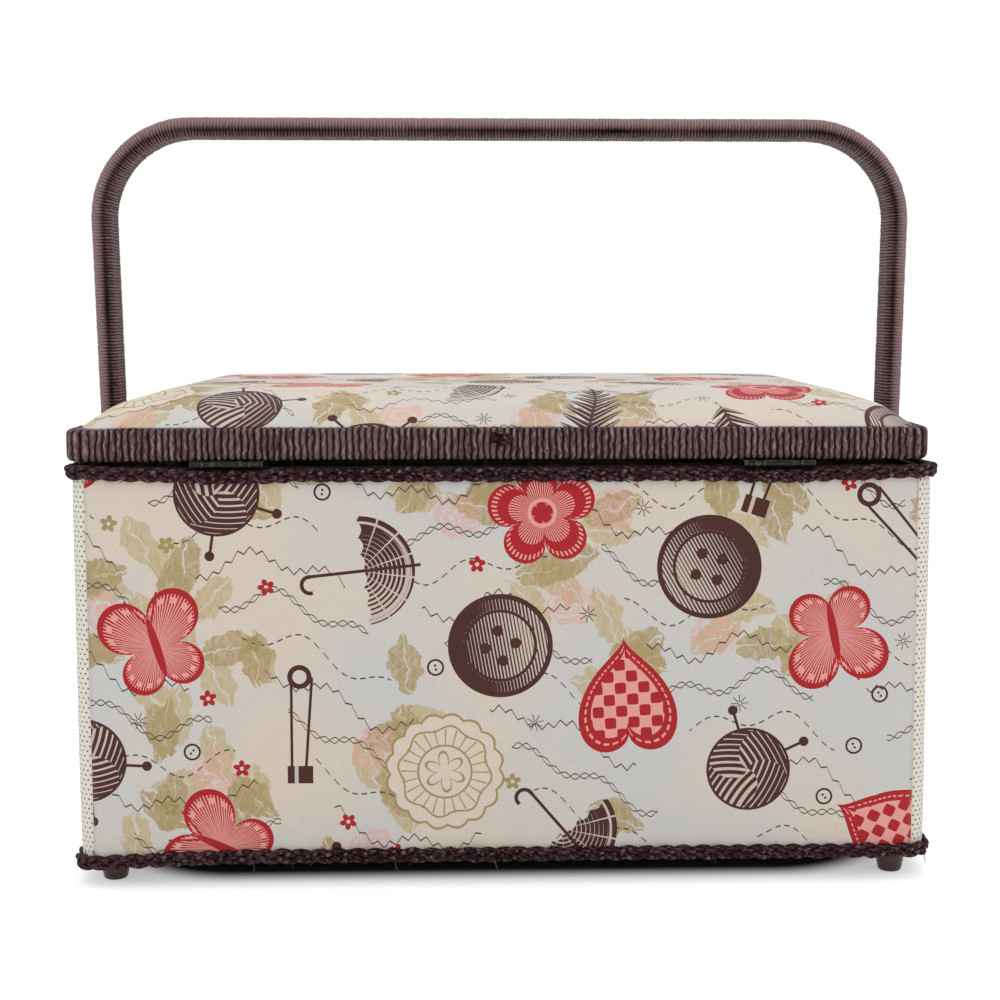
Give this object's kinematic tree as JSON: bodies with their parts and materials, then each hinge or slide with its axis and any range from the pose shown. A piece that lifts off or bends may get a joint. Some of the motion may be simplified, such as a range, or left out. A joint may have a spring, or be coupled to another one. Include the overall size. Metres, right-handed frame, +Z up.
{
  "type": "sewing basket",
  "caption": "Fabric-covered sewing basket with a padded hinged lid, a cord-wound bail handle, small feet and a lift-out compartment tray.",
  "frame": {"origin": "on the floor under the middle of the basket", "axes": "+X along the width, +Y towards the closure side, -Y towards the hinges, +Z up"},
  "size_m": [0.3752, 0.2561, 0.3211],
  "materials": {
    "board": "matt, unvarnished",
    "printed_fabric": "printed plain-weave cotton",
    "dotted_fabric": "plain-weave cotton with fine dots",
    "lining_cloth": "smooth cotton",
    "wadding": "polyester wadding",
    "pincushion_cloth": "velvety cotton",
    "twisted_cord": "twisted paper cord",
    "plaited_cord": "plaited cord",
    "foot_plastic": "moulded, semi-gloss",
    "button_plastic": "moulded, polished",
    "tray_plastic": "moulded, satin",
    "hinge_steel": "blackened, low sheen",
    "pivot_steel": "antiqued brass",
    "tab_leather": "dark, fine grain",
    "elastic_cord": "braided elastic cord"
  },
  "bodies": {
    "basket": {"bottom_board": "board", "front_board": "board", "back_board": "board", "left_board": "board", "right_board": "board", "front_cover": "printed_fabric", "back_cover": "printed_fabric", "left_cover": "dotted_fabric", "right_cover": "dotted_fabric", "body_lining": "lining_cloth", "floor_mat": "lining_cloth", "front_left_foot": "foot_plastic", "front_right_foot": "foot_plastic", "back_left_foot": "foot_plastic", "back_right_foot": "foot_plastic", "top_braid": "plaited_cord", "bottom_braid": "plaited_cord", "left_hinge_body_leaf": "hinge_steel", "right_hinge_body_leaf": "hinge_steel", "left_hinge_pin": "hinge_steel", "right_hinge_pin": "hinge_steel", "left_pivot_bolt": "pivot_steel", "left_pivot_spacer": "pivot_steel", "left_pivot_nut": "pivot_steel", "right_pivot_bolt": "pivot_steel", "right_pivot_spacer": "pivot_steel", "right_pivot_nut": "pivot_steel", "closure_button": "button_plastic", "left_ledge": "board", "right_ledge": "board"},
    "lid": {"rim_frame": "board", "rim_winding": "twisted_cord", "lid_board": "board", "lid_cover": "printed_fabric", "lid_cushion": "wadding", "lid_lining": "lining_cloth", "lid_pocket": "lining_cloth", "pincushion": "pincushion_cloth", "left_hinge_lid_leaf": "hinge_steel", "right_hinge_lid_leaf": "hinge_steel", "closure_tab": "tab_leather"},
    "handle": {"handle_core": "board", "handle_winding": "twisted_cord"},
    "tray": {"tray": "tray_plastic"},
    "closure_loop": {"closure_loop": "elastic_cord"}
  },
  "joints": [
    {"name": "lid_hinge", "type": "hinge", "parent": "basket", "child": "lid", "pos_m": [0, -0.1253, 0.1736], "axis": [1, 0, 0], "range_deg": [0, 100]},
    {"name": "handle_swing", "type": "hinge", "parent": "basket", "child": "handle", "pos_m": [0, 0, 0.15], "axis": [1, 0, 0], "range_deg": [-110, 110]},
    {"name": "tray_lift", "type": "slide", "parent": "basket", "child": "tray", "axis": [0, 0, 1], "range_m": [0, 0.01]},
    {"name": "closure_loop_swing", "type": "hinge", "parent": "lid", "child": "closure_loop", "pos_m": [0, 0.1285, 0.1797], "axis": [1, 0, 0], "range_deg": [0, 150]}
  ],
  "couplings": [
    {"joint": "handle_swing", "follows": "lid_hinge", "ratio": 1.1}
  ]
}
